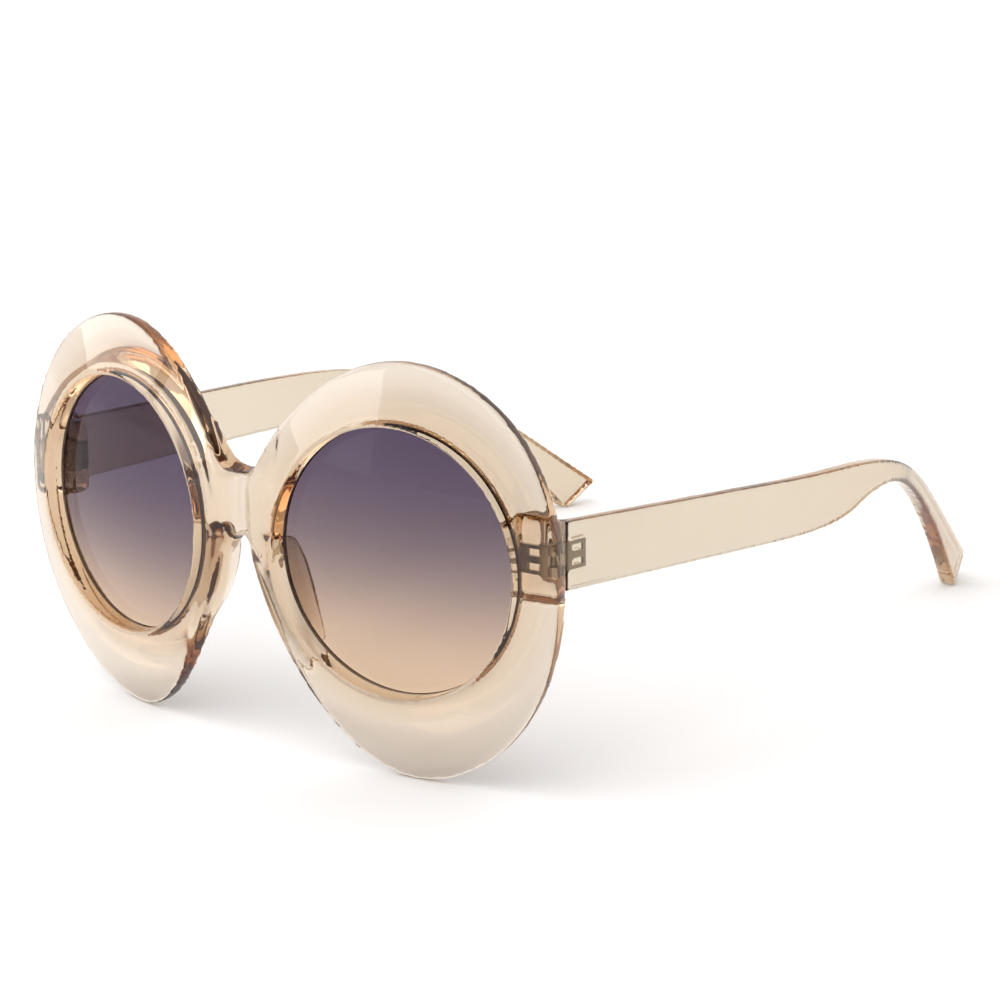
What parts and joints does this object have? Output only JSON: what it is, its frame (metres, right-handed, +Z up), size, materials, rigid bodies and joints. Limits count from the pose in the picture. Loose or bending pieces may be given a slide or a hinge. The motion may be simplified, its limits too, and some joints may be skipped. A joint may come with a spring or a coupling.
{
  "type": "sunglasses",
  "caption": "Oversized round sunglasses with thick translucent rims that taper to a point at the bottom, gradient lenses and folding flat temples.",
  "frame": {"origin": "middle of the footprint on the table that the glasses stand on, rims and temple tips touching it", "axes": "+X towards the wearer's left, +Y back along the temples, +Z up; the open pair stands on both rims and both temple tips"},
  "size_m": [0.139, 0.1674, 0.076],
  "materials": {
    "frame_plastic": "polished translucent champagne",
    "lens_tint": "polished, smoke purple fading to peach",
    "hinge_metal": "dull nickel plate"
  },
  "bodies": {
    "front": {"front_frame": "frame_plastic", "left_lens": "lens_tint", "right_lens": "lens_tint", "left_front_leaf": "hinge_metal", "right_front_leaf": "hinge_metal", "left_hinge_screw": "hinge_metal", "right_hinge_screw": "hinge_metal"},
    "left_temple": {"left_temple": "frame_plastic", "left_temple_leaf": "hinge_metal"},
    "right_temple": {"right_temple": "frame_plastic", "right_temple_leaf": "hinge_metal"}
  },
  "joints": [
    {"name": "left_temple_fold", "type": "hinge", "parent": "front", "child": "left_temple", "pos_m": [0.0606, -0.06587, 0.0436], "axis": [0, 0.0296, 0.9996], "range_deg": [0, 89]},
    {"name": "right_temple_fold", "type": "hinge", "parent": "front", "child": "right_temple", "pos_m": [-0.0606, -0.06587, 0.0436], "axis": [0, -0.0296, -0.9996], "range_deg": [0, 72]}
  ]
}
